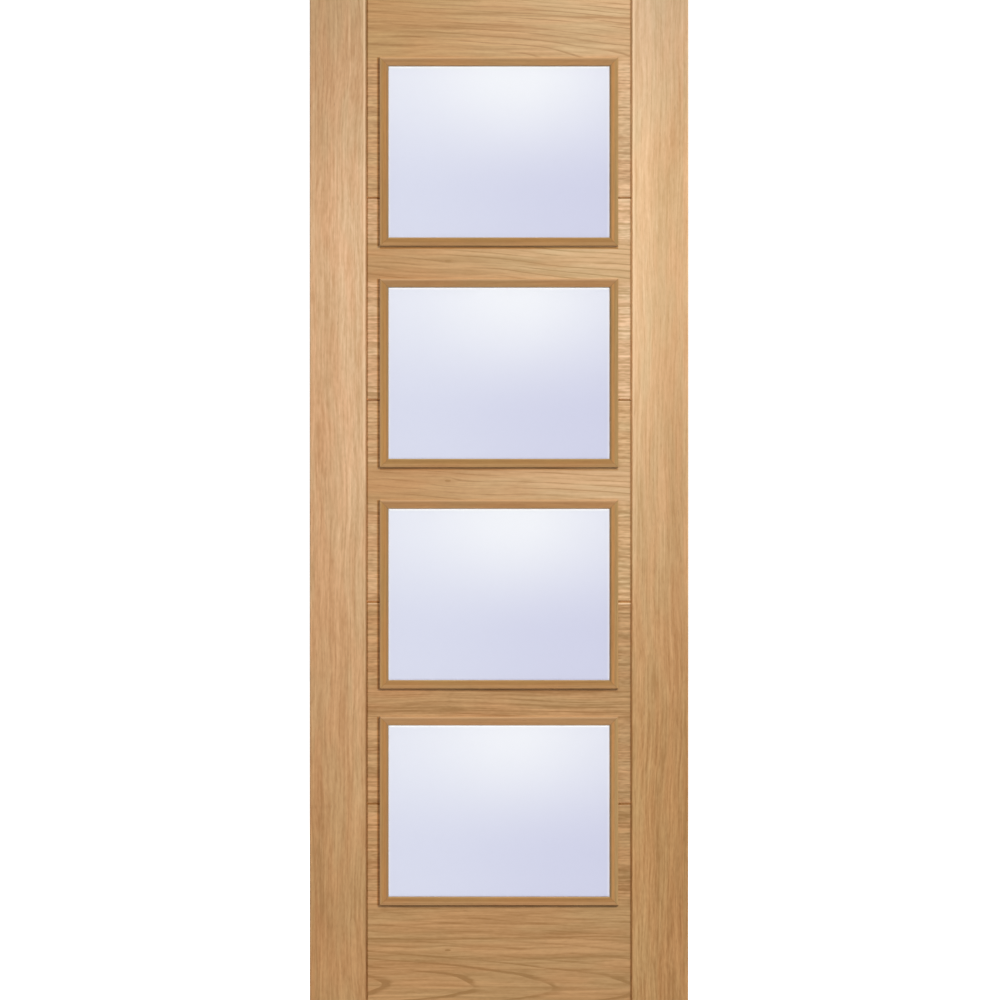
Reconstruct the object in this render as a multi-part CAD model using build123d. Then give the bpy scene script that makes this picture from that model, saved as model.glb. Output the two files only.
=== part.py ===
"""Glazed interior door leaf: two lipped stiles, five V-jointed boards, four panes held by mitred beads.

Millimetres, +Z up. X runs across the leaf from the hinge edge (0) to the latch edge, Y runs through it with
the front face towards -Y, and the origin is at the foot of the hinge edge, half way through the thickness.
"""

import os

from build123d import *

# Leaf
LEAF_WIDTH = 762.0
LEAF_HEIGHT = 2032.0
LEAF_THICKNESS = 35.0

# Face layout
STILE_WIDTH = 115.0  # each side, lipping included
SIDE_STRIP_WIDTH = 26.0  # board that shows between a stile and a bead frame
TOP_RAIL_HEIGHT = 123.5  # leaf top down to the first bead frame
UPPER_CROSS_RAIL_HEIGHT = 65.5  # between bead frames, from the top down
MIDDLE_CROSS_RAIL_HEIGHT = 65.5
LOWER_CROSS_RAIL_HEIGHT = 56.0
BOTTOM_RAIL_HEIGHT = 201.5  # last bead frame down to the foot

# Edge lipping
LIPPING_THICKNESS = 10.0
LIPPING_ARRIS_RADIUS = 2.0

# Joints between boards and stiles
V_GROOVE_DEPTH = 2.5  # 45 degree chamfer on both meeting arrises
TONGUE_THICKNESS = 10.0
TONGUE_LENGTH = 12.0
TONGUE_CLEARANCE = 0.2  # on each cheek and at the tip

# Glazing
GLASS_THICKNESS = 4.0
GLASS_EDGE_GAP = 2.0  # pane edge to aperture wall
BEAD_SIGHT_WIDTH = 17.5
BEAD_LIP = 4.0  # lap of the bead over the board's face
BEAD_PROUD = 4.0  # height of the bead above the board's face
BEAD_FLAT_WIDTH = 6.0  # level band along the bead's outer side
BEAD_SPLAY_DROP = 1.2  # fall of the splay from that band to the nose
BEAD_FIT = 0.2  # bead body to aperture wall
BEAD_OUTER_RADIUS = 1.5
BEAD_SPLAY_RADIUS = 4.0  # where the band turns into the splay
BEAD_NOSE_RADIUS = 2.0

BOARD_NAMES = ("top_rail", "upper_cross_rail", "middle_cross_rail", "lower_cross_rail", "bottom_rail")
PANE_NAMES = ("top_pane", "upper_pane", "lower_pane", "bottom_pane")

# Worked out from the sizes above
half_thickness = LEAF_THICKNESS / 2
board_width = LEAF_WIDTH - 2 * STILE_WIDTH
board_height = LEAF_HEIGHT / len(BOARD_NAMES)
middle_x = LEAF_WIDTH / 2
rails_height = (
    TOP_RAIL_HEIGHT
    + UPPER_CROSS_RAIL_HEIGHT
    + MIDDLE_CROSS_RAIL_HEIGHT
    + LOWER_CROSS_RAIL_HEIGHT
    + BOTTOM_RAIL_HEIGHT
)
bead_frame_width = board_width - 2 * SIDE_STRIP_WIDTH
bead_frame_height = (LEAF_HEIGHT - rails_height) / len(PANE_NAMES)
aperture_width = bead_frame_width - 2 * BEAD_LIP
aperture_height = bead_frame_height - 2 * BEAD_LIP


def pane_centres():
    """Height of each pane's centre above the foot, from the top pane down."""
    rails_above = (
        TOP_RAIL_HEIGHT,
        UPPER_CROSS_RAIL_HEIGHT,
        MIDDLE_CROSS_RAIL_HEIGHT,
        LOWER_CROSS_RAIL_HEIGHT,
    )
    heights = []
    frame_foot = LEAF_HEIGHT
    for rail in rails_above:
        frame_foot -= rail + bead_frame_height
        heights.append(frame_foot + bead_frame_height / 2)
    return heights


def upright(section, height, foot=0.0):
    """A plan section drawn on XY, raised from foot by height."""
    return Pos(0, 0, foot) * extrude(section, height)


def lipping():
    """Solid strip along the hinge edge, its two outer arrises eased."""
    section = Pos(LIPPING_THICKNESS / 2, 0) * Rectangle(LIPPING_THICKNESS, LEAF_THICKNESS)
    outer_corners = section.vertices().group_by(Axis.X)[0]
    return upright(fillet(outer_corners, LIPPING_ARRIS_RADIUS), LEAF_HEIGHT)


def stile():
    """Hinge stile behind its lipping, with a groove for the boards and chamfered inner arrises."""
    width = STILE_WIDTH - LIPPING_THICKNESS
    section = Pos(LIPPING_THICKNESS + width / 2, 0) * Rectangle(width, LEAF_THICKNESS)
    inner_corners = section.vertices().group_by(Axis.X)[-1]
    section = chamfer(inner_corners, V_GROOVE_DEPTH)
    section -= Pos(STILE_WIDTH - TONGUE_LENGTH / 2, 0) * Rectangle(TONGUE_LENGTH, TONGUE_THICKNESS)
    return upright(section, LEAF_HEIGHT)


def across(piece):
    """The same piece at the other edge of the leaf."""
    return mirror(piece, Plane.YZ.offset(middle_x))


def aperture(centre_height):
    """Cutter for one glazed opening, through the whole thickness."""
    return Pos(middle_x, 0, centre_height) * Box(aperture_width, LEAF_THICKNESS, aperture_height)


def v_joint(height):
    """Cutter for the V grooves on both faces where two boards meet."""
    side = V_GROOVE_DEPTH * 2**0.5
    diamond = Rectangle(side, side, rotation=45)
    section = Pos(-half_thickness, height) * diamond + Pos(half_thickness, height) * diamond
    return Pos(STILE_WIDTH, 0, 0) * extrude(Plane.YZ * section, board_width)


def board(index):
    """One board between the stiles: tongued ends, V joints to its neighbours, apertures cut away."""
    foot = LEAF_HEIGHT - (index + 1) * board_height
    head = foot + board_height
    tongue_reach = TONGUE_LENGTH - TONGUE_CLEARANCE
    tongue_section_thickness = TONGUE_THICKNESS - 2 * TONGUE_CLEARANCE

    section = Rectangle(board_width, LEAF_THICKNESS)
    section = chamfer(section.vertices(), V_GROOVE_DEPTH)
    section += Rectangle(board_width + 2 * tongue_reach, tongue_section_thickness)
    piece = upright(Pos(middle_x, 0) * section, board_height, foot)

    if index > 0:
        tongue = Box(board_width, tongue_section_thickness, tongue_reach)
        piece += Pos(middle_x, 0, head + tongue_reach / 2) * tongue
        piece -= v_joint(head)
    if index < len(BOARD_NAMES) - 1:
        groove = Box(board_width, TONGUE_THICKNESS, TONGUE_LENGTH)
        piece -= Pos(middle_x, 0, foot + TONGUE_LENGTH / 2) * groove
        piece -= v_joint(foot)
    for centre_height in pane_centres():
        piece -= aperture(centre_height)
    return piece


def pane(centre_height):
    """A sheet of glass, smaller than its aperture all round."""
    width = aperture_width - 2 * GLASS_EDGE_GAP
    height = aperture_height - 2 * GLASS_EDGE_GAP
    return Pos(middle_x, 0, centre_height) * Box(width, GLASS_THICKNESS, height)


def bead_section():
    """Bead profile: x runs in from the lip's outer edge, y runs out from the middle of the glass."""
    face = half_thickness
    crown = face + BEAD_PROUD
    body = BEAD_LIP + BEAD_FIT
    glass_face = GLASS_THICKNESS / 2
    outer_arris = (0, crown)
    splay_start = (BEAD_FLAT_WIDTH, crown)
    nose = (BEAD_SIGHT_WIDTH, crown - BEAD_SPLAY_DROP)
    outline = Polyline(
        (0, face),
        outer_arris,
        splay_start,
        nose,
        (BEAD_SIGHT_WIDTH, glass_face),
        (body, glass_face),
        (body, face),
        close=True,
    )
    section = make_face(outline)
    for corner, radius in (
        (outer_arris, BEAD_OUTER_RADIUS),
        (splay_start, BEAD_SPLAY_RADIUS),
        (nose, BEAD_NOSE_RADIUS),
    ):
        nearest = section.vertices().sort_by_distance((*corner, 0))[0]
        section = fillet(nearest, radius)
    return section


def bead(length):
    """One mitred bead along X, its lip's outer edge on y = 0 and the glass face below."""
    bar = extrude(Plane.YZ * bead_section(), length / 2, both=True)
    mitre_block = Polygon(
        (-length / 2, 0),
        (length / 2, 0),
        (length / 2 - BEAD_SIGHT_WIDTH, BEAD_SIGHT_WIDTH),
        (-length / 2 + BEAD_SIGHT_WIDTH, BEAD_SIGHT_WIDTH),
        align=None,
    )
    return bar & extrude(mitre_block, half_thickness + BEAD_PROUD)


def bead_frame(centre_height, side):
    """The four beads round one pane on one side, by the place that each one has."""
    looking_out = Plane(
        origin=(middle_x, 0, centre_height),
        x_dir=(1, 0, 0) if side == "front" else (-1, 0, 0),
        z_dir=(0, -1, 0) if side == "front" else (0, 1, 0),
    )
    places = ("sill", "latch", "head", "hinge") if side == "front" else ("sill", "hinge", "head", "latch")
    beads = {}
    for quarter_turn, place in enumerate(places):
        if place in ("sill", "head"):
            length, reach = bead_frame_width, bead_frame_height / 2
        else:
            length, reach = bead_frame_height, bead_frame_width / 2
        beads[place] = looking_out * Rot(0, 0, 90 * quarter_turn) * Pos(0, -reach, 0) * bead(length)
    return beads


def door_leaf():
    """Every piece of the leaf by name."""
    pieces = {
        "hinge_edge_lipping": lipping(),
        "hinge_stile": stile(),
        "latch_edge_lipping": across(lipping()),
        "latch_stile": across(stile()),
    }
    for index, name in enumerate(BOARD_NAMES):
        pieces[name] = board(index)
    for name, centre_height in zip(PANE_NAMES, pane_centres()):
        pieces[f"{name}_glass"] = pane(centre_height)
        for side in ("front", "back"):
            for place, piece in bead_frame(centre_height, side).items():
                pieces[f"{name}_{side}_{place}_bead"] = piece
    return pieces


os.makedirs("parts", exist_ok=True)
for name, piece in door_leaf().items():
    export_step(piece, f"parts/{name}.step")
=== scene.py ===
"""Looks of the glazed oak door leaf: lacquered veneer on stiles and boards, stained beads, satin glass.

Metres, in the frame's own axes: X across the leaf from the hinge edge, front face towards -Y, Z up.
"""

import math

import bmesh
import bpy
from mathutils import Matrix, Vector


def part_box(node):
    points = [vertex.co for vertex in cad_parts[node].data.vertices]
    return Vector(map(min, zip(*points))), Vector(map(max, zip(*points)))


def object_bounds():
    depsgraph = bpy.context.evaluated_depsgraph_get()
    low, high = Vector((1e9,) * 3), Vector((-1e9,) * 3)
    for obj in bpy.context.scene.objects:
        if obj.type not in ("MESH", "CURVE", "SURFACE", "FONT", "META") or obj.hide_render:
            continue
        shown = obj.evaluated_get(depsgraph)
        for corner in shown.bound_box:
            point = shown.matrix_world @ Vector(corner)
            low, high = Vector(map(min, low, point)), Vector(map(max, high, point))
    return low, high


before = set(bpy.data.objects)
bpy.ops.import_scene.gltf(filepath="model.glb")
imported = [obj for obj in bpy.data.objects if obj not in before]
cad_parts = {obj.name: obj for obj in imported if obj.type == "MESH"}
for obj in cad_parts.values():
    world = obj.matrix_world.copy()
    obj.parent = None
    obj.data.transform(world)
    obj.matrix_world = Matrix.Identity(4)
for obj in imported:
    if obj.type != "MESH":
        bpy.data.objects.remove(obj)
cad_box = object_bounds()


def srgb(red, green, blue):
    """A screen colour, 0 to 255, as the linear colour that a shader takes."""
    def linear(value):
        value /= 255
        return value / 12.92 if value <= 0.04045 else ((value + 0.055) / 1.055) ** 2.4
    return (linear(red), linear(green), linear(blue), 1.0)


# Pieces
BOARDS = ("top_rail", "upper_cross_rail", "middle_cross_rail", "lower_cross_rail", "bottom_rail")
PANES = ("top_pane", "upper_pane", "lower_pane", "bottom_pane")
SIDES = ("front", "back")
LEVEL_PLACES = ("head", "sill")

# Leaf, read from the frame
leaf_low, leaf_high = (Vector(corner) for corner in cad_box)
leaf_middle = (leaf_low + leaf_high) / 2
leaf_half_width = leaf_middle.x - leaf_low.x
_, stile_high = (Vector(corner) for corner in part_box("hinge_stile"))
stile_edge = stile_high.x
face_depth = stile_high.y
board_half_width = leaf_middle.x - stile_edge
joint_pitch = leaf_high.z / len(BOARDS)
sill_low, sill_high = (Vector(corner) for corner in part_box("top_pane_front_sill_bead"))
bead_sight = sill_high.z - sill_low.z
bead_frame_half_width = (sill_high.x - sill_low.x) / 2

# Grain: noise waves a metre across the grain, into the face and along the grain
SWAY_WAVES = (5.0, 5.0, 1.7)
RIPPLE_WAVES = (24.0, 24.0, 6.5)
YEAR_WAVES = (30.0, 30.0, 2.0)
BREAK_WAVES = (70.0, 70.0, 6.0)
BAND_WAVES = (75.0, 75.0, 2.2)
STREAK_WAVES = (240.0, 240.0, 5.0)
DASH_WAVES = (260.0, 260.0, 24.0)
FLECK_WAVES = (320.0, 320.0, 95.0)
PORE_WAVES = (2100.0, 2100.0, 75.0)
DRIFT_WAVES = (22.0, 22.0, 1.6)
BLUSH_WAVES = (38.0, 38.0, 6.0)

# Grain: smooth steps, each from one value to another, with what it gives at both where that isn't 0 and 1
EARLY_WOOD = ((0.0, 0.09), (0.12, 0.42))  # shares of a year in which it comes in and goes out
RING_BREAKS = (0.38, 0.60, 0.2, 1.0)
RING_FADE_START = 0.02  # from the heart
RING_FADE = (1.0, 0.25)
PINHOLES = (0.60, 0.70)
DRIFT = (0.3, 0.7, -0.5, 0.5)
KNOT_EYE = (0.01, 0.09, 0.9, 0.0)
VEIN_LINE = (0.0006, 0.0042, 0.42, 0.0)
VEIN_BREAKS = (0.30, 0.55, 0.35, 1.0)
BLUSH = (0.35, 0.65)

# Grain: sizes and shares
SEED_STEP = 0.37
RIPPLE_SHARE = (0.16, 0.16, 0.0)
IN_PLANE = (1.0, 1.0, 0.0)  # the grain bends sideways and into the face, not along itself
KNOT_WIDTH = 0.008
KNOT_LENGTH = 0.024
KNOT_ALONG = -0.103  # from the leaf's middle
KNOT_PINCH = -0.8
NOWHERE = -1.0  # where a plank has no knot or vein
YEAR_SPREAD = 0.7
BAND_SHARE = 0.55
STREAK_SHARE = 0.85
DASH_SHARE = 0.80
FLECK_SHARE = 0.35
PORES_ANYWHERE = 0.25
PORES_IN_RINGS = 0.75
PORE_DARKNESS = 0.55
BASE_TONE = 0.56  # between light and dark wood
DRIFT_SHARE = 0.20
WARM_BLUSH = (1.025, 0.99, 0.96, 1.0)
COOL_BLUSH = (0.975, 1.01, 0.995, 1.0)
FIBRE_RELIEF = -0.3
RING_RELIEF = -0.25
PORE_RELIEF = -0.45

# Lacquer
LACQUER_ROUGHNESS = 0.44
FIBRE_ROUGHNESS = 0.08
PORE_ROUGHNESS = 0.18
BARE_WOOD_ROUGHER = 0.45  # than the lacquered faces
LACQUER_IOR = 1.5
RELIEF_STRENGTH = 0.5
LEAF_RELIEF = 0.0004
BEAD_RELIEF = 0.0002

# Colours of pores, of painted highlights on arrises, and of the line in a mitre
OAK_PORE = srgb(140, 96, 56)
BEAD_PORE = srgb(120, 78, 40)
ARRIS_HIGHLIGHT = srgb(250, 218, 180)
BEAD_ARRIS_HIGHLIGHT = srgb(228, 186, 140)
MITRE_BROWN = srgb(96, 62, 32)

# Stains, bleached tones, painted shade and painted light, as multiples of the wood's own colour
# Painted shade for groove and joint chamfers that face the light, and painted light for those in shade
LIT_CHAMFER_SHADE = (0.52, 0.45, 0.36, 1.0)
SHADED_CHAMFER_LIGHT = (1.15, 1.02, 0.88, 1.0)
JOINT_FOOT_LIGHT = (1.46, 1.30, 1.12, 1.0)
STILE_OUTER_TONE = (0.90, 0.84, 0.78, 1.0)
END_GRAIN = (0.62, 0.52, 0.42, 1.0)
PLANED_EDGE = (0.80, 0.74, 0.66, 1.0)
# Painted shade on the bead's reveal in the recess
BEAD_REVEAL_SHADE = (0.80, 0.72, 0.62, 1.0)
# Painted shadow beside a bead frame
BEAD_SHADOW_TINT = (0.79, 0.60, 0.35, 1.0)

# Where the finishes, painted highlights, painted shading and painted shadows lie. A pair of pairs is where a
# line comes in and where it goes out
END_DEPTHS = (0.0008, 0.0002)  # inside an end, where its bare wood starts and where it is full
GROOVE_REACH = 0.0025
GROOVE_EDGE = (0.0020, 0.0032)  # from the groove's middle
STILE_OUTER = (0.005, 0.105)  # from near the groove to near the leaf's edge
# Painted highlight along each stile's arris beside the groove
STILE_ARRIS = ((GROOVE_REACH, 0.0046), (0.0056, 0.0080))
STILE_ARRIS_HEIGHTS = (0.75, 1.50, 0.0, 0.42)  # paler up the leaf
STILE_FIBRE_HEIGHTS = (0.2, 1.3)
STRIP_EDGE = 0.015  # over which a board's strip takes its tone
# Painted highlight on the arris under a board joint
JOINT_ARRIS = ((0.0024, 0.0032), (0.0036, 0.0060))  # from a joint between boards
JOINT_EDGE = (0.0020, 0.0030)
# A painted shadow in a band beside the bead frame
BEAD_SHADOW_BAND = ((0.0008, 0.0020), (0.0050, 0.0062))  # outside a bead frame
BEAD_BAND = 0.006
SPLAY_EDGE = 0.003  # over which the splay's stain takes over from the band's
# Painted highlight on a bead's outer arris
BEAD_ARRIS = (0.0020, 0.0048)
REVEAL_START = 0.0005  # above the board's face
REVEAL_FULL = 0.0010  # below it
MITRE_HAIRLINE = (0.0002, 0.0007, 0.45, 0.0)

# Ways of slicing the veneer of stiles, boards and beads
STILE_CUT = {
    "Ring Reach": 1.0,
    "Heart Depth": 0.05,
    "Wander": 0.05,
    "Knot Across": NOWHERE,
    "Vein Across": NOWHERE,
    "Ring Strength": 0.14,
    "Fleck Strength": 0.9,
}
STILE_RING_SPACING = 0.0085
LIPPING_RING_SPACING = 0.006
FLAT_CUT = {
    "Ring Spacing": 0.0078,
    "Ring Reach": 0.30,
    "Heart Depth": 0.06,
    "Taper": 0.04,
    "Wander": 0.03,
    "Fibre Strength": 1.0,
    "Fleck Strength": 0.5,
}
STRAIGHT_CUT = {**FLAT_CUT, "Heart Depth": 0.08, "Taper": 0.01, "Wander": 0.02, "Fibre Strength": 1.9}
ARCHED_CUT = {
    "Ring Spacing": 0.0127,
    "Ring Reach": 0.085,
    "Heart Depth": 0.0208,
    "Taper": 0.075,
    "Wander": 0.016,
    "Fibre Strength": 1.2,
    "Fleck Strength": 0.6,
}
STRIP_FIBRE = 1.52
STRIP_FLECK = 1.3
STRIP_RINGS = 0.3  # of the strength that they have on the rail
BEAD_CUT = {
    "Ring Spacing": 0.005,
    "Ring Reach": 1.0,
    "Heart Across": 0.4,
    "Heart Depth": 0.15,
    "Wander": 0.02,
    "Knot Across": NOWHERE,
    "Vein Across": NOWHERE,
    "Ring Strength": 0.25,
    "Fibre Strength": 0.60,
    "Fleck Strength": 1.0,
}

# Seeds of the boards and beads, which count up from the top of the leaf
BOARD_SEED = 11.3
BOARD_SEED_STEP = 3.7
LEVEL_BEAD_SEED = 31.0
UPRIGHT_BEAD_SEED = 41.0

# Each stile: light and dark wood, painted shading at its foot (darker, more amber) and its head (darker on
# the hinge stile, greyer on the latch stile), the heights between which each of them comes in, how strongly
# its fibres show at foot and head, and the painted shading on its groove's chamfer. Then where its log's
# heart lay, and the seeds of the stile and of its lipping
STILES = {
    "hinge": {
        "light": srgb(243, 208, 173),
        "dark": srgb(205, 164, 123),
        "foot": (0.71, 0.61, 0.43, 1.0),
        "head": (0.71, 0.68, 0.60, 1.0),
        "head_span": (1.45, 2.05),
        "foot_span": (1.75, 0.0),
        "fibre": (1.3, 1.15),
        "groove": LIT_CHAMFER_SHADE,
        "heart": leaf_low.x - 0.20,
        "seed": 1.7,
        "lipping_seed": 2.9,
    },
    "latch": {
        "light": srgb(244, 212, 173),
        "dark": srgb(204, 165, 119),
        "foot": (0.68, 0.56, 0.39, 1.0),
        "head": (0.86, 0.90, 0.99, 1.0),
        "head_span": (1.60, 2.10),
        "foot_span": (1.60, 0.35),
        "fibre": (1.45, 0.78),
        "groove": SHADED_CHAMFER_LIGHT,
        "heart": leaf_high.x + 0.22,
        "seed": 5.3,
        "lipping_seed": 7.1,
    },
}

# Each board: light and dark wood, how its latch end (paler there as painted light) and its strips beside the
# panes differ, the painted shade on the lit chamfer of the joint at its head, how strong the painted
# highlight on the arris below that joint is at the hinge and latch sides, and how strongly the painted
# shadow under the sill above it shows. Then its cut and, from its rail's middle, its heart, knot and vein,
# the grain's slope, and how strongly its rings show at the hinge and latch ends
BOARD_LOOKS = {
    "top_rail": {
        "light": srgb(205, 165, 115),
        "dark": srgb(162, 121, 75),
        "latch_end": (1.26, 1.43, 1.84, 1.0),
        "hinge_strip": (1.07, 1.08, 1.20, 1.0),
        "latch_strip": (1.00, 0.99, 1.03, 1.0),
        "joint_shading": LIT_CHAMFER_SHADE,
        "joint_arris": (0.0, 0.0),
        "sill_shadow": 0.0,
        "cut": FLAT_CUT,
        "heart": -0.080,
        "knot": -0.003,
        "vein": 0.022,
        "slope": 0.02,
        "rings": (0.30, 0.75),
    },
    "upper_cross_rail": {
        "light": srgb(209, 165, 118),
        "dark": srgb(166, 124, 77),
        "latch_end": (1.21, 1.44, 1.77, 1.0),
        "hinge_strip": (1.20, 1.29, 1.57, 1.0),
        "latch_strip": (1.10, 1.10, 1.20, 1.0),
        "joint_shading": (0.44, 0.38, 0.30, 1.0),
        "joint_arris": (0.2, 0.5),
        "sill_shadow": 1.0,
        "cut": FLAT_CUT,
        "heart": -0.070,
        "knot": 0.001,
        "vein": NOWHERE,
        "slope": 0.02,
        "rings": (0.30, 0.75),
    },
    "middle_cross_rail": {
        "light": srgb(209, 165, 117),
        "dark": srgb(167, 123, 76),
        "latch_end": (1.24, 1.46, 1.86, 1.0),
        "hinge_strip": (1.14, 1.21, 1.39, 1.0),
        "latch_strip": (0.94, 0.92, 0.86, 1.0),
        "joint_shading": (0.42, 0.36, 0.28, 1.0),
        "joint_arris": (0.2, 0.4),
        "sill_shadow": 0.7,
        "cut": FLAT_CUT,
        "heart": -0.070,
        "knot": 0.004,
        "vein": NOWHERE,
        "slope": 0.02,
        "rings": (0.30, 0.75),
    },
    "lower_cross_rail": {
        "light": srgb(205, 159, 111),
        "dark": srgb(163, 119, 72),
        "latch_end": (1.01, 1.08, 1.14, 1.0),
        "hinge_strip": (1.07, 1.10, 1.16, 1.0),
        "latch_strip": (0.99, 1.01, 1.05, 1.0),
        "joint_shading": (0.85, 0.78, 0.66, 1.0),
        "joint_arris": (0.6, 0.9),
        "sill_shadow": 0.35,
        "cut": STRAIGHT_CUT,
        "heart": -0.140,
        "knot": NOWHERE,
        "vein": -0.015,
        "slope": 0.0,
        "rings": (0.55, 0.55),
    },
    "bottom_rail": {
        "light": srgb(206, 162, 113),
        "dark": srgb(164, 121, 72),
        "latch_end": (1.00, 1.03, 1.07, 1.0),
        "hinge_strip": (1.06, 1.05, 1.10, 1.0),
        "latch_strip": (0.91, 0.89, 0.86, 1.0),
        "joint_shading": (0.72, 0.64, 0.52, 1.0),
        "joint_arris": (0.1, 0.2),
        "sill_shadow": 0.0,
        "cut": ARCHED_CUT,
        "heart": -0.060,
        "knot": 0.011,
        "vein": 0.0355,
        "slope": 0.0,
        "rings": (1.0, 1.0),
    },
}

# Light and dark wood of the beads round each pane
BEAD_TONES = {
    "top_pane": {"light": srgb(189, 143, 91), "dark": srgb(156, 113, 67)},
    "upper_pane": {"light": srgb(193, 147, 94), "dark": srgb(161, 117, 70)},
    "lower_pane": {"light": srgb(196, 148, 95), "dark": srgb(164, 119, 72)},
    "bottom_pane": {"light": srgb(199, 150, 99), "dark": srgb(167, 121, 74)},
}

# How the beads in each place are tinted on their outer band and splay, a stain with painted shading that
# differs with how light falls on each place, the painted shading on their nose and how wide it is, and the
# strength of the painted highlight on their outer arris
BEAD_GLAZES_AND_SHADING = {
    "head": {
        "band": (0.90, 0.94, 1.03, 1.0),
        "splay": (0.99, 1.01, 1.08, 1.0),
        "nose": (1.10, 1.18, 1.30, 1.0),
        "nose_width": 0.0030,
        "arris": 0.32,
    },
    "sill": {
        "band": (0.99, 1.02, 1.06, 1.0),
        "splay": (0.81, 0.78, 0.61, 1.0),
        "nose": (1.12, 1.35, 1.60, 1.0),
        "nose_width": 0.0030,
        "arris": 0.0,
    },
    "hinge": {
        "band": (0.90, 0.93, 0.76, 1.0),
        "splay": (0.94, 0.89, 0.71, 1.0),
        "nose": (0.78, 0.90, 1.15, 1.0),
        "nose_width": 0.0060,
        "arris": 0.22,
    },
    "latch": {
        "band": (0.93, 1.06, 1.08, 1.0),
        "splay": (1.14, 1.08, 0.92, 1.0),
        "nose": (0.56, 0.68, 0.86, 1.0),
        "nose_width": 0.0052,
        "arris": 0.0,
    },
}

# Glass, whose colour is a painted reflection with a painted highlight along its rim. Places on a pane run
# from -1 to 1, across and up
GLASS_LOW_HINGE = srgb(207, 210, 227)
GLASS_LOW_LATCH = srgb(200, 202, 223)
GLASS_HIGH = srgb(232, 234, 239)
GLASS_ACROSS = (-0.9, 0.9)
GLASS_RISE = (-0.48, 0.86)
GLASS_BRIGHTEST = 0.12
GLASS_BRIGHT_FALL = (0.0, 1.1, 0.9, 0.45)
GLASS_RIM = 0.005
GLASS_SIDE_RIM = 0.4  # of the strength that the rim at the head has
CLOUD_WAVES = (3.0, 3.0, 3.0)
CLOUD_SHARE = 0.2
FROST_WAVES = (2500.0, 2500.0, 2500.0)
FROST_ROUGHNESS = 0.25
FROST_UNEVENNESS = 0.1
FROST_STRENGTH = 0.08
FROST_RELIEF = 0.0002
GLASS_IOR = 1.5

# Studio
WHITE = (1.0, 1.0, 1.0, 1.0)
FLOOR_REACH = 60.0
FLOOR_LIT = (0.20, 0.20, 0.20, 1.0)
FLOOR_SEEN = (0.9, 0.9, 0.9, 1.0)
FLOOR_SHADE = (0.02, 0.35, 0.15, 0.8)  # distances from the leaf's foot, and the floor's glow there
SKY_COLOR = (1.0, 0.96, 0.91, 1.0)
SKY_STRENGTH = 0.45
GROUND_STRENGTH = 1.1  # of the white ground that is seen straight
BEHIND_GLASS = 1.15  # of the white ground that shows through the panes
DAYLIGHT = (1.0, 0.985, 0.965)
WARM_LIGHT = (1.0, 0.95, 0.88)
SOFTBOXES = {
    "key": {
        "place": (9.4, -7.5, 9.0),
        "aim": leaf_middle,
        "size": 1.75,
        "power": 2089.0,
        "color": DAYLIGHT,
    },
    "left_fill": {
        "place": (-3.0, -5.0, 2.2),
        "aim": (0.2, 0.0, 1.2),
        "size": 2.5,
        "power": 62.0,
        "color": WARM_LIGHT,
    },
    "back_key": {
        "place": (-7.9, 9.9, 6.7),
        "aim": leaf_middle,
        "size": 3.0,
        "power": 1900.0,
        "color": DAYLIGHT,
    },
}

# Picture
PIXELS = 1000
PIXEL_SIZE = 0.0020125  # on the leaf's front face
LENS = 600.0
SENSOR = 36.0
VIEW_SHIFT_X = 0.0020
VIEW_SHIFT_Z = 0.0017
VIEW_END = 200.0

# Sockets of a Mix node that blends colours
MIX_FACTOR = 0
MIX_FIRST = 6
MIX_SECOND = 7
MIX_RESULT = 2


# Node helpers


def put(tree, kind, inputs=None, **settings):
    """Adds a node, sets it up, and sets or links its inputs by name or number."""
    node = tree.nodes.new(kind)
    for name, value in settings.items():
        setattr(node, name, value)
    for name, value in (inputs or {}).items():
        if isinstance(value, bpy.types.NodeSocket):
            tree.links.new(value, node.inputs[name])
        else:
            node.inputs[name].default_value = value
    return node


def maths(tree, operation, first, second=0.0, third=0.0):
    """One Math node's result."""
    return put(tree, "ShaderNodeMath", {0: first, 1: second, 2: third}, operation=operation).outputs[0]


def times(tree, first, *others):
    """Values multiplied together."""
    for other in others:
        first = maths(tree, "MULTIPLY", first, other)
    return first


def hypotenuse(tree, first, second):
    """The long side of a right triangle."""
    return maths(tree, "SQRT", maths(tree, "MULTIPLY_ADD", first, first, times(tree, second, second)))


def distance_from(tree, value, middle):
    """How far value lies from middle, on either side."""
    return maths(tree, "ABSOLUTE", maths(tree, "SUBTRACT", value, middle))


def vector_maths(tree, operation, *inputs):
    """One Vector Math node's result."""
    return put(tree, "ShaderNodeVectorMath", dict(enumerate(inputs)), operation=operation).outputs[0]


def parts_of(tree, vector):
    """A vector's X, Y and Z."""
    return put(tree, "ShaderNodeSeparateXYZ", {0: vector}).outputs


def ramp(tree, value, low, high, start=0.0, end=1.0):
    """A smooth step of value from start at low to end at high."""
    inputs = {"Value": value, "From Min": low, "From Max": high, "To Min": start, "To Max": end}
    return put(tree, "ShaderNodeMapRange", inputs, interpolation_type="SMOOTHSTEP").outputs["Result"]


def between(tree, value, coming, going):
    """Mask of a line that comes in over one span of value and goes out over another."""
    return times(tree, ramp(tree, value, *coming), ramp(tree, value, *going, 1.0, 0.0))


def toward(tree, mask, start, end):
    """A value that goes from start to end with a mask."""
    return maths(tree, "MULTIPLY_ADD", mask, end - start, start)


def blend(tree, factor, first, second, mode="MIX"):
    """One colour laid over another."""
    inputs = {MIX_FACTOR: factor, MIX_FIRST: first, MIX_SECOND: second}
    return put(tree, "ShaderNodeMix", inputs, data_type="RGBA", blend_type=mode).outputs[MIX_RESULT]


def stained(tree, mask, color, stain):
    """A colour with a stain in it where the mask is."""
    return blend(tree, mask, color, stain, mode="MULTIPLY")


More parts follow.
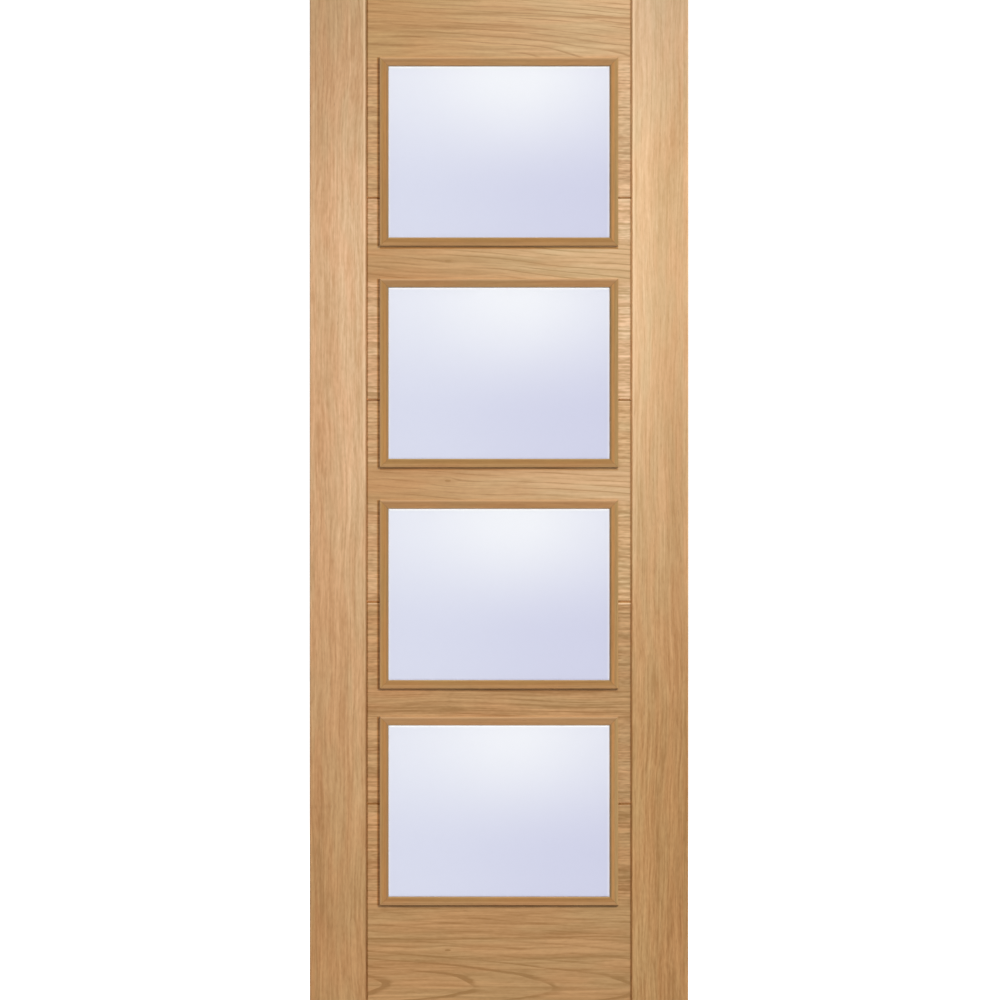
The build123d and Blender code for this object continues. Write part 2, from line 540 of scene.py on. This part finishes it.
def noise(tree, place, waves, detail=2.0):
    """Noise with its own number of waves a metre along each axis."""
    spread = vector_maths(tree, "MULTIPLY", place, waves)
    return put(tree, "ShaderNodeTexNoise", {"Vector": spread, "Scale": 1.0, "Detail": detail})


def grey_noise(tree, place, waves, detail=2.0):
    """The same noise as one value."""
    return noise(tree, place, waves, detail).outputs["Fac"]


def new_group(name, inputs, outputs):
    """An empty node group with named sockets, and its two end nodes."""
    group = bpy.data.node_groups.new(name, "ShaderNodeTree")
    kinds = {"float": "NodeSocketFloat", "color": "NodeSocketColor", "vector": "NodeSocketVector"}
    for socket, kind in inputs.items():
        group.interface.new_socket(socket, in_out="INPUT", socket_type=kinds[kind])
    for socket, kind in outputs.items():
        group.interface.new_socket(socket, in_out="OUTPUT", socket_type=kinds[kind])
    return group, group.nodes.new("NodeGroupInput"), group.nodes.new("NodeGroupOutput")


def use(tree, group, inputs):
    """Places a node group in a material."""
    return put(tree, "ShaderNodeGroup", inputs, node_tree=group)


# Node groups


def oak_veneer_group():
    """Oak as sliced from a tapering log: rings round a wandering heart, streaks, pores, a vein, a pin knot.

    Place is in the plank's own axes: X across the grain, Y into the face, Z along the grain.
    """
    group, source, result = new_group(
        "oak_veneer",
        {
            "Place": "vector",
            "Light": "color",
            "Dark": "color",
            "Pore": "color",
            "Ring Spacing": "float",
            "Ring Reach": "float",
            "Heart Across": "float",
            "Heart Depth": "float",
            "Taper": "float",
            "Wander": "float",
            "Knot Across": "float",
            "Knot Along": "float",
            "Vein Across": "float",
            "Ring Strength": "float",
            "Fibre Strength": "float",
            "Fleck Strength": "float",
            "Seed": "float",
        },
        {"Color": "color", "Roughness": "float", "Height": "float"},
    )
    given = source.outputs
    seed = given["Seed"]
    inputs = {0: seed, 1: times(group, seed, SEED_STEP), 2: seed}
    offset = put(group, "ShaderNodeCombineXYZ", inputs).outputs[0]
    place = vector_maths(group, "ADD", given["Place"], offset)

    # The grain's own bend: a slow sway along the plank with a quicker ripple on it
    noise_middle = (0.5, 0.5, 0.5)
    sway = noise(group, place, SWAY_WAVES).outputs["Color"]
    sway = vector_maths(group, "SUBTRACT", sway, noise_middle)
    ripple = noise(group, place, RIPPLE_WAVES, detail=1.0).outputs["Color"]
    ripple = vector_maths(group, "SUBTRACT", ripple, noise_middle)
    bend = vector_maths(group, "MULTIPLY_ADD", ripple, RIPPLE_SHARE, sway)
    inputs = {0: bend, "Scale": given["Wander"]}
    bend = put(group, "ShaderNodeVectorMath", inputs, operation="SCALE").outputs[0]
    bend = vector_maths(group, "MULTIPLY", bend, IN_PLANE)
    swayed = vector_maths(group, "ADD", given["Place"], bend)

    # The grain parts round a pin knot
    parts = parts_of(group, given["Place"])
    knot_across = maths(group, "SUBTRACT", parts[0], given["Knot Across"])
    knot_along = maths(group, "SUBTRACT", parts[2], given["Knot Along"])
    wide = maths(group, "DIVIDE", knot_across, KNOT_WIDTH)
    long = maths(group, "DIVIDE", knot_along, KNOT_LENGTH)
    from_knot = maths(group, "ADD", times(group, wide, wide), times(group, long, long))
    parting = maths(group, "EXPONENT", times(group, from_knot, -1.0))
    pinch = times(group, knot_across, parting, KNOT_PINCH)
    pinch = put(group, "ShaderNodeCombineXYZ", {0: pinch}).outputs[0]
    bent = vector_maths(group, "ADD", swayed, pinch)
    along_grain = vector_maths(group, "ADD", bent, offset)

    # Rings round the heart: uneven from year to year, broken along their length, fainter away from the
    # heart, and not much wider where the slice runs along them
    bent_parts = parts_of(group, bent)
    across = maths(group, "SUBTRACT", bent_parts[0], given["Heart Across"])
    depth = maths(group, "SUBTRACT", bent_parts[1], given["Heart Depth"])
    radius = hypotenuse(group, across, depth)
    girth = maths(group, "MULTIPLY_ADD", bent_parts[2], given["Taper"], radius)
    years = maths(group, "DIVIDE", girth, given["Ring Spacing"])
    uneven = grey_noise(group, place, YEAR_WAVES, detail=1.0)
    season = maths(group, "FRACT", maths(group, "MULTIPLY_ADD", uneven, YEAR_SPREAD, years))
    lean = maths(group, "DIVIDE", across, radius)
    steepness = hypotenuse(group, lean, given["Taper"])
    line = maths(group, "DIVIDE", season, maths(group, "SQRT", steepness))
    early = between(group, line, *EARLY_WOOD)
    broken = ramp(group, grey_noise(group, along_grain, BREAK_WAVES), *RING_BREAKS)
    from_heart = maths(group, "ABSOLUTE", across)
    fading = ramp(group, from_heart, RING_FADE_START, given["Ring Reach"], *RING_FADE)
    rings = times(group, early, broken, fading)

    # Broad bands and long streaks, then short streaks and flecks, each pair centred on zero
    band = grey_noise(group, along_grain, BAND_WAVES)
    streak = grey_noise(group, along_grain, STREAK_WAVES, detail=1.0)
    dash = grey_noise(group, along_grain, DASH_WAVES, detail=1.0)
    fleck = grey_noise(group, along_grain, FLECK_WAVES, detail=0.0)
    short = maths(group, "MULTIPLY_ADD", dash, DASH_SHARE, -(DASH_SHARE + FLECK_SHARE) / 2)
    short = maths(group, "MULTIPLY_ADD", fleck, FLECK_SHARE, short)
    fibre = maths(group, "MULTIPLY_ADD", streak, STREAK_SHARE, -(STREAK_SHARE + BAND_SHARE) / 2)
    fibre = maths(group, "MULTIPLY_ADD", band, BAND_SHARE, fibre)
    fibre = maths(group, "MULTIPLY_ADD", short, given["Fleck Strength"], fibre)

    # Pores, most of them in the early wood, a slow drift of tone, the knot's eye and the vein
    pinholes = ramp(group, grey_noise(group, place, PORE_WAVES, detail=1.0), *PINHOLES)
    pores = times(group, pinholes, maths(group, "MULTIPLY_ADD", rings, PORES_IN_RINGS, PORES_ANYWHERE))
    drift = ramp(group, grey_noise(group, place, DRIFT_WAVES), *DRIFT)
    eye = ramp(group, from_knot, *KNOT_EYE)
    from_vein = distance_from(group, bent_parts[0], given["Vein Across"])
    vein = times(group, ramp(group, from_vein, *VEIN_LINE), ramp(group, streak, *VEIN_BREAKS))

    tone = maths(group, "MULTIPLY_ADD", rings, given["Ring Strength"], BASE_TONE)
    tone = maths(group, "MULTIPLY_ADD", fibre, given["Fibre Strength"], tone)
    tone = maths(group, "MULTIPLY_ADD", drift, DRIFT_SHARE, maths(group, "ADD", tone, vein))
    color = blend(group, maths(group, "ADD", tone, eye), given["Light"], given["Dark"])
    blush = ramp(group, grey_noise(group, along_grain, BLUSH_WAVES, detail=1.0), *BLUSH)
    color = stained(group, 1.0, color, blend(group, blush, WARM_BLUSH, COOL_BLUSH))
    color = blend(group, times(group, pores, PORE_DARKNESS), color, given["Pore"])
    group.links.new(color, result.inputs["Color"])

    rough = maths(group, "MULTIPLY_ADD", fibre, FIBRE_ROUGHNESS, LACQUER_ROUGHNESS)
    rough = maths(group, "MULTIPLY_ADD", pores, PORE_ROUGHNESS, rough)
    group.links.new(rough, result.inputs["Roughness"])
    relief = maths(group, "MULTIPLY_ADD", fibre, FIBRE_RELIEF, times(group, rings, RING_RELIEF))
    relief = maths(group, "MULTIPLY_ADD", pores, PORE_RELIEF, relief)
    group.links.new(relief, result.inputs["Height"])
    return group


def board_lines_group():
    """How far a point lies outside the upright groove lines, and from the nearest level board joint."""
    group, source, result = new_group(
        "board_lines",
        {"Place": "vector"},
        {"Past Groove": "float", "From Joint": "float"},
    )
    parts = parts_of(group, source.outputs["Place"])
    sideways = distance_from(group, parts[0], leaf_middle.x)
    group.links.new(maths(group, "SUBTRACT", sideways, board_half_width), result.inputs["Past Groove"])
    inside = maths(group, "MAXIMUM", parts[2], joint_pitch / 2)
    inside = maths(group, "MINIMUM", inside, leaf_high.z - joint_pitch / 2)
    group.links.new(maths(group, "PINGPONG", inside, joint_pitch / 2), result.inputs["From Joint"])
    return group


def bead_frame_place_group():
    """Place in a bead frame: how far in from its edges, and where between them, from -1 to 1."""
    group, source, result = new_group(
        "bead_frame_place",
        {"Place": "vector", "Half Width": "float", "Half Height": "float"},
        {"From Side": "float", "From End": "float", "Across": "float", "Up": "float"},
    )
    parts = parts_of(group, source.outputs["Place"])
    half_width = source.outputs["Half Width"]
    half_height = source.outputs["Half Height"]
    side = maths(group, "SUBTRACT", half_width, maths(group, "ABSOLUTE", parts[0]))
    end = maths(group, "SUBTRACT", half_height, maths(group, "ABSOLUTE", parts[2]))
    group.links.new(side, result.inputs["From Side"])
    group.links.new(end, result.inputs["From End"])
    group.links.new(maths(group, "DIVIDE", parts[0], half_width), result.inputs["Across"])
    group.links.new(maths(group, "DIVIDE", parts[2], half_height), result.inputs["Up"])
    return group


oak_veneer = oak_veneer_group()
board_lines = board_lines_group()
bead_frame_place = bead_frame_place_group()


# Finishes


def new_material(name):
    """A material with its output and a Principled shader, and its pieces' Object coordinates."""
    material = bpy.data.materials.new(name)
    material.use_nodes = True
    tree = material.node_tree
    tree.nodes.clear()
    shader = tree.nodes.new("ShaderNodeBsdfPrincipled")
    output = tree.nodes.new("ShaderNodeOutputMaterial")
    tree.links.new(shader.outputs[0], output.inputs["Surface"])
    place = put(tree, "ShaderNodeTexCoord").outputs["Object"]
    return material, tree, shader, place


def plank_place(tree, place, level, middle=(0.0, 0.0, 0.0), slope=0.0):
    """Object place in the axes of an upright or level plank, from its middle, with the grain at a slope."""
    if level:
        parts = parts_of(tree, place)
        place = put(tree, "ShaderNodeCombineXYZ", {0: parts[2], 1: parts[1], 2: parts[0]}).outputs[0]
    inputs = {"Vector": place, "Location": middle, "Rotation": (0.0, -slope, 0.0)}
    return put(tree, "ShaderNodeMapping", inputs, vector_type="TEXTURE").outputs[0]


def lacquer(tree, shader, color, grain, bare, relief=LEAF_RELIEF):
    """Satin lacquer over the grain with a shallow relief, and rougher wood where it is bare."""
    tree.links.new(color, shader.inputs["Base Color"])
    roughness = maths(tree, "MULTIPLY_ADD", bare, BARE_WOOD_ROUGHER, grain.outputs["Roughness"])
    tree.links.new(roughness, shader.inputs["Roughness"])
    inputs = {"Height": grain.outputs["Height"], "Strength": RELIEF_STRENGTH, "Distance": relief}
    tree.links.new(put(tree, "ShaderNodeBump", inputs).outputs[0], shader.inputs["Normal"])
    shader.inputs["IOR"].default_value = LACQUER_IOR


def leaf_ends(tree, height):
    """Mask of the leaf's top and bottom edges."""
    start, full = END_DEPTHS
    top = ramp(tree, height, leaf_high.z - start, leaf_high.z - full)
    bottom = ramp(tree, height, leaf_low.z + start, leaf_low.z + full)
    return maths(tree, "MAXIMUM", top, bottom)


def upright_oak(name, look, seed, heart, ring_spacing, groove_shading):
    """Upright veneer: darker to the leaf's edge, painted shading at foot and head, a painted highlight along
    the groove's arris, and painted shading on the groove's chamfer.
    """
    material, tree, shader, place = new_material(name)
    height = parts_of(tree, place)[2]
    grain = use(
        tree,
        oak_veneer,
        {
            **STILE_CUT,
            "Place": plank_place(tree, place, level=False),
            "Light": look["light"],
            "Dark": look["dark"],
            "Pore": OAK_PORE,
            "Ring Spacing": ring_spacing,
            "Heart Across": heart,
            "Fibre Strength": ramp(tree, height, *STILE_FIBRE_HEIGHTS, *look["fibre"]),
            "Seed": seed,
        },
    )
    past_groove = use(tree, board_lines, {"Place": place}).outputs["Past Groove"]
    # Painted shading towards the foot and towards the top end
    color = stained(tree, ramp(tree, height, *look["foot_span"]), grain.outputs["Color"], look["foot"])
    color = stained(tree, ramp(tree, height, *look["head_span"]), color, look["head"])
    color = stained(tree, ramp(tree, past_groove, *STILE_OUTER), color, STILE_OUTER_TONE)
    # Painted highlight along the arris beside the groove, stronger up the leaf
    arris = times(tree, between(tree, past_groove, *STILE_ARRIS), ramp(tree, height, *STILE_ARRIS_HEIGHTS))
    color = blend(tree, arris, color, ARRIS_HIGHLIGHT)
    # Painted shading on the groove's chamfer: painted shade where it faces the light, painted light where it
    # lies in shade
    color = stained(tree, ramp(tree, past_groove, *GROOVE_EDGE, 1.0, 0.0), color, groove_shading)
    ends = leaf_ends(tree, height)
    color = stained(tree, ends, color, END_GRAIN)
    lacquer(tree, shader, color, grain, ends)
    return material


def board_oak(name, seed, look, board_middle, rail_low, rail_high):
    """Level veneer of one board: paler to its latch end as painted light, its strips beside the panes in
    their own tones, painted shading in its grooves and joints, a painted highlight under the joint at its
    head, and painted shadows beside the bead frames.
    """
    material, tree, shader, place = new_material(name)
    rail_middle = (rail_low + rail_high) / 2
    rail_half = (rail_high - rail_low) / 2
    parts = parts_of(tree, place)
    from_rail = distance_from(tree, parts[2], rail_middle)
    strip = ramp(tree, from_rail, rail_half, rail_half + STRIP_EDGE)
    board_span = (stile_edge, leaf_high.x - stile_edge)
    latchward = ramp(tree, parts[0], *board_span)
    rings = ramp(tree, parts[0], *board_span, *look["rings"])
    cut = look["cut"]
    grain = use(
        tree,
        oak_veneer,
        {
            **cut,
            "Place": plank_place(tree, place, True, (rail_middle, 0.0, leaf_middle.x), look["slope"]),
            "Light": look["light"],
            "Dark": look["dark"],
            "Pore": OAK_PORE,
            "Heart Across": look["heart"],
            "Knot Across": look["knot"],
            "Knot Along": KNOT_ALONG,
            "Vein Across": look["vein"],
            "Ring Strength": times(tree, rings, toward(tree, strip, 1.0, STRIP_RINGS)),
            "Fibre Strength": toward(tree, strip, cut["Fibre Strength"], STRIP_FIBRE),
            "Fleck Strength": toward(tree, strip, cut["Fleck Strength"], STRIP_FLECK),
            "Seed": seed,
        },
    )
    # Painted light: paler and less saturated towards the latch end, where the light falls
    color = stained(tree, latchward, grain.outputs["Color"], look["latch_end"])
    color = stained(tree, strip, color, blend(tree, latchward, look["hinge_strip"], look["latch_strip"]))

    # V joints to the boards above and below: a painted highlight on the arris under the upper one, painted
    # shade on the upward chamfer that faces the light, and painted light on the downward chamfer in shade
    lines = use(tree, board_lines, {"Place": place})
    from_joint = lines.outputs["From Joint"]
    headward = maths(tree, "GREATER_THAN", parts[2], board_middle)
    arris = times(tree, between(tree, from_joint, *JOINT_ARRIS), headward)
    arris = times(tree, arris, ramp(tree, latchward, 0.0, 1.0, *look["joint_arris"]))
    color = blend(tree, arris, color, ARRIS_HIGHLIGHT)
    joint_shading = blend(tree, headward, JOINT_FOOT_LIGHT, look["joint_shading"])
    color = stained(tree, ramp(tree, from_joint, *JOINT_EDGE, 1.0, 0.0), color, joint_shading)

    # V grooves beside the stiles: painted light on the hinge-end chamfer, which lies in shade, and painted
    # shade on the latch-end chamfer, which faces the light
    groove_low, groove_high = GROOVE_EDGE
    groove = ramp(tree, lines.outputs["Past Groove"], -groove_high, -groove_low)
    color = stained(tree, groove, color, blend(tree, latchward, SHADED_CHAMFER_LIGHT, LIT_CHAMFER_SHADE))

    # Painted shadows, brown, along the hinge side and under the sill of the bead frames
    frame_side = leaf_middle.x - bead_frame_half_width
    hinge_shadow = between(tree, maths(tree, "SUBTRACT", frame_side, parts[0]), *BEAD_SHADOW_BAND)
    hinge_shadow = times(tree, hinge_shadow, maths(tree, "GREATER_THAN", from_rail, rail_half))
    sill_shadow = between(tree, maths(tree, "SUBTRACT", rail_high, parts[2]), *BEAD_SHADOW_BAND)
    aside = distance_from(tree, parts[0], leaf_middle.x)
    under_sill = times(tree, maths(tree, "LESS_THAN", aside, bead_frame_half_width), look["sill_shadow"])
    line = maths(tree, "MAXIMUM", hinge_shadow, times(tree, sill_shadow, under_sill))
    color = stained(tree, line, color, BEAD_SHADOW_TINT)

    ends = leaf_ends(tree, parts[2])
    color = stained(tree, ends, color, PLANED_EDGE)
    lacquer(tree, shader, color, grain, ends)
    return material


def within_bead_frame(tree, place, bead_frame):
    """Where a point lies in the bead frame round one pane, given by its lowest and highest corners."""
    low, high = bead_frame
    centre = (low + high) / 2
    inputs = {"Vector": place, "Location": (-centre.x, 0.0, -centre.z)}
    from_centre = put(tree, "ShaderNodeMapping", inputs).outputs[0]
    half_sizes = {"Half Width": (high.x - low.x) / 2, "Half Height": (high.z - low.z) / 2}
    return use(tree, bead_frame_place, {"Place": from_centre, **half_sizes}).outputs


def bead_oak(name, seed, bead_frame, level, tones, glaze_and_shading):
    """Stained bead: band and splay take their own stain with painted shading, the nose takes painted
    shading, the reveal in the recess painted shade, the outer arris a painted highlight, and the mitres are
    dark.
    """
    material, tree, shader, place = new_material(name)
    grain = use(
        tree,
        oak_veneer,
        {
            **BEAD_CUT,
            "Place": plank_place(tree, place, level),
            "Light": tones["light"],
            "Dark": tones["dark"],
            "Pore": BEAD_PORE,
            "Seed": seed,
        },
    )
    within = within_bead_frame(tree, place, bead_frame)
    inward = within["From End" if level else "From Side"]
    # Band and splay: a stain with painted shading
    splay = ramp(tree, inward, BEAD_BAND, BEAD_BAND + SPLAY_EDGE)
    color = stained(tree, 1.0, grain.outputs["Color"], blend(tree, splay, glaze_and_shading["band"], glaze_and_shading["splay"]))
    # Painted shade on the reveal inside the recess, which is also rougher as bare wood
    depth = maths(tree, "ABSOLUTE", parts_of(tree, place)[1])
    reveal = ramp(tree, depth, face_depth + REVEAL_START, face_depth - REVEAL_FULL)
    color = stained(tree, reveal, color, BEAD_REVEAL_SHADE)
    # Painted shading along the nose
    nose_width = glaze_and_shading["nose_width"]
    nose = ramp(tree, inward, bead_sight - nose_width, bead_sight - nose_width / 2)
    nose = times(tree, nose, maths(tree, "SUBTRACT", 1.0, reveal))
    color = stained(tree, nose, color, glaze_and_shading["nose"])
    # Painted highlight on the outer arris
    color = blend(tree, ramp(tree, inward, *BEAD_ARRIS, glaze_and_shading["arris"], 0.0), color, BEAD_ARRIS_HIGHLIGHT)
    from_mitre = distance_from(tree, within["From End"], within["From Side"])
    color = blend(tree, ramp(tree, from_mitre, *MITRE_HAIRLINE), color, MITRE_BROWN)
    lacquer(tree, shader, color, grain, reveal, BEAD_RELIEF)
    return material


def satin_glass(name, bead_frame):
    """Etched glass, faintly lilac, with a painted reflection that is whitest below its head bead, and a
    painted highlight as a pale rim where it meets the beads.
    """
    material, tree, shader, place = new_material(name)
    within = within_bead_frame(tree, place, bead_frame)
    # Painted reflection: whiter up the pane, most near its middle
    low = blend(tree, ramp(tree, within["Across"], *GLASS_ACROSS), GLASS_LOW_HINGE, GLASS_LOW_LATCH)
    rise = ramp(tree, within["Up"], *GLASS_RISE)
    brightness = ramp(tree, distance_from(tree, within["Across"], GLASS_BRIGHTEST), *GLASS_BRIGHT_FALL)
    cloud = grey_noise(tree, place, CLOUD_WAVES, detail=1.0)
    brightness = maths(tree, "MULTIPLY_ADD", cloud, CLOUD_SHARE, brightness)
    color = blend(tree, times(tree, rise, brightness), low, GLASS_HIGH)
    # Painted highlight along the rim beside the beads
    rim = (bead_sight + GLASS_RIM / 3, bead_sight + GLASS_RIM)
    head_rim = times(tree, ramp(tree, within["From End"], *rim, 1.0, 0.0), rise)
    side_rim = ramp(tree, within["From Side"], *rim, GLASS_SIDE_RIM, 0.0)
    color = blend(tree, maths(tree, "MAXIMUM", head_rim, side_rim), color, WHITE)
    tree.links.new(color, shader.inputs["Base Color"])
    frost = grey_noise(tree, place, FROST_WAVES)
    roughness = maths(tree, "MULTIPLY_ADD", frost, FROST_UNEVENNESS, FROST_ROUGHNESS)
    tree.links.new(roughness, shader.inputs["Roughness"])
    inputs = {"Height": frost, "Strength": FROST_STRENGTH, "Distance": FROST_RELIEF}
    tree.links.new(put(tree, "ShaderNodeBump", inputs).outputs[0], shader.inputs["Normal"])
    shader.inputs["IOR"].default_value = GLASS_IOR
    shader.inputs["Transmission Weight"].default_value = 1.0
    return material


def finish_with(node, material):
    """Gives a CAD piece its finish."""
    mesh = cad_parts[node].data
    mesh.materials.clear()
    mesh.materials.append(material)


def bead_frame_box(pane):
    """Lowest and highest corner of the front bead frame round a pane."""
    low, _ = (Vector(corner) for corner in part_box(f"{pane}_front_sill_bead"))
    _, high = (Vector(corner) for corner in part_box(f"{pane}_front_head_bead"))
    return low, high


def dress_stiles():
    """Both stiles and their lippings."""
    for side, look in STILES.items():
        stile = (look["seed"], look["heart"], STILE_RING_SPACING, look["groove"])
        finish_with(f"{side}_stile", upright_oak(f"{side}_stile_oak", look, *stile))
        lipping = (look["lipping_seed"], leaf_middle.x, LIPPING_RING_SPACING, SHADED_CHAMFER_LIGHT)
        finish_with(f"{side}_edge_lipping", upright_oak(f"{side}_lipping_oak", look, *lipping))


def dress_boards(bead_frames):
    """The five boards, from the top down, with the rail that each one shows between the bead frames."""
    rail_tops = [leaf_high.z] + [low.z for low, _ in bead_frames]
    rail_feet = [high.z for _, high in bead_frames] + [leaf_low.z]
    for index, board in enumerate(BOARDS):
        seed = BOARD_SEED + BOARD_SEED_STEP * index
        heights = (leaf_high.z - (index + 0.5) * joint_pitch, rail_feet[index], rail_tops[index])
        finish_with(board, board_oak(f"{board}_oak", seed, BOARD_LOOKS[board], *heights))


def dress_panes(bead_frames):
    """The four panes and the beads round them on both sides."""
    for index, (pane, bead_frame) in enumerate(zip(PANES, bead_frames)):
        finish_with(f"{pane}_glass", satin_glass(f"{pane}_satin_glass", bead_frame))
        for place, glaze_and_shading in BEAD_GLAZES_AND_SHADING.items():
            level = place in LEVEL_PLACES
            seed = (LEVEL_BEAD_SEED if level else UPRIGHT_BEAD_SEED) + index
            bead = bead_oak(f"{pane}_{place}_bead_oak", seed, bead_frame, level, BEAD_TONES[pane], glaze_and_shading)
            for side in SIDES:
                finish_with(f"{pane}_{side}_{place}_bead", bead)


# Studio


def seen_or_lit(tree, shader_lit, shader_seen, shader_through):
    """One shader for lighting, one for what the camera sees straight, one for what shows through glass."""
    path = put(tree, "ShaderNodeLightPath")
    inputs = {0: path.outputs["Is Camera Ray"], 1: shader_lit, 2: shader_seen}
    direct = put(tree, "ShaderNodeMixShader", inputs).outputs[0]
    inputs = {0: path.outputs["Is Transmission Ray"], 1: direct, 2: shader_through}
    return put(tree, "ShaderNodeMixShader", inputs).outputs[0]


def white_glow(tree, strength):
    """Plain white light from a surface."""
    return put(tree, "ShaderNodeEmission", {"Color": WHITE, "Strength": strength}).outputs[0]


def pale_floor():
    """The floor's finish: pale, with the leaf's shade close round its foot."""
    material = bpy.data.materials.new("pale_floor")
    material.use_nodes = True
    tree = material.node_tree
    tree.nodes.clear()
    lit = put(tree, "ShaderNodeBsdfDiffuse", {"Color": FLOOR_LIT}).outputs[0]
    pale = put(tree, "ShaderNodeBsdfDiffuse", {"Color": FLOOR_SEEN}).outputs[0]
    parts = parts_of(tree, put(tree, "ShaderNodeTexCoord").outputs["Object"])
    aside = maths(tree, "SUBTRACT", distance_from(tree, parts[0], leaf_middle.x), leaf_half_width)
    away = hypotenuse(tree, maths(tree, "MAXIMUM", aside, 0.0), parts[1])
    glow = white_glow(tree, ramp(tree, away, *FLOOR_SHADE))
    seen = put(tree, "ShaderNodeAddShader", {0: pale, 1: glow}).outputs[0]
    output = tree.nodes.new("ShaderNodeOutputMaterial")
    surface = seen_or_lit(tree, lit, seen, white_glow(tree, BEHIND_GLASS))
    tree.links.new(surface, output.inputs["Surface"])
    return material


def studio_floor():
    """A wide floor under the leaf."""
    mesh = bpy.data.meshes.new("studio_floor")
    shape = bmesh.new()
    bmesh.ops.create_grid(shape, x_segments=1, y_segments=1, size=FLOOR_REACH)
    shape.to_mesh(mesh)
    shape.free()
    mesh.materials.append(pale_floor())
    floor = bpy.data.objects.new("studio_floor", mesh)
    bpy.context.scene.collection.objects.link(floor)


def studio_sky():
    """Even light from all round, with a white ground behind the leaf."""
    world = bpy.data.worlds.new("studio")
    world.use_nodes = True
    tree = world.node_tree
    tree.nodes.clear()
    grounds = []
    for color, strength in ((SKY_COLOR, SKY_STRENGTH), (WHITE, GROUND_STRENGTH), (WHITE, BEHIND_GLASS)):
        inputs = {"Color": color, "Strength": strength}
        grounds.append(put(tree, "ShaderNodeBackground", inputs).outputs[0])
    output = tree.nodes.new("ShaderNodeOutputWorld")
    tree.links.new(seen_or_lit(tree, *grounds), output.inputs["Surface"])
    bpy.context.scene.world = world


def softbox(name, place, aim, size, power, color):
    """A square area light at place, turned to aim."""
    light = bpy.data.lights.new(name, "AREA")
    light.shape = "SQUARE"
    light.size = size
    light.energy = power
    light.color = color
    lamp = bpy.data.objects.new(name, light)
    lamp.location = place
    lamp.rotation_euler = (Vector(aim) - Vector(place)).to_track_quat("-Z", "Y").to_euler()
    bpy.context.scene.collection.objects.link(lamp)


def camera():
    """Level view square on to the front face, from far off as the photo was taken."""
    data = bpy.data.cameras.new("camera")
    data.lens = LENS
    data.sensor_width = SENSOR
    data.clip_end = VIEW_END
    distance = LENS / SENSOR * PIXELS * PIXEL_SIZE
    eye = bpy.data.objects.new("camera", data)
    eye.location = (leaf_middle.x + VIEW_SHIFT_X, -face_depth - distance, leaf_middle.z + VIEW_SHIFT_Z)
    eye.rotation_euler = (math.pi / 2, 0.0, 0.0)
    bpy.context.scene.collection.objects.link(eye)
    bpy.context.scene.camera = eye


frames_round_panes = [bead_frame_box(pane) for pane in PANES]
dress_stiles()
dress_boards(frames_round_panes)
dress_panes(frames_round_panes)
studio_floor()
studio_sky()
for name, settings in SOFTBOXES.items():
    softbox(name, **settings)
camera()
bpy.context.scene.view_settings.view_transform = "Standard"
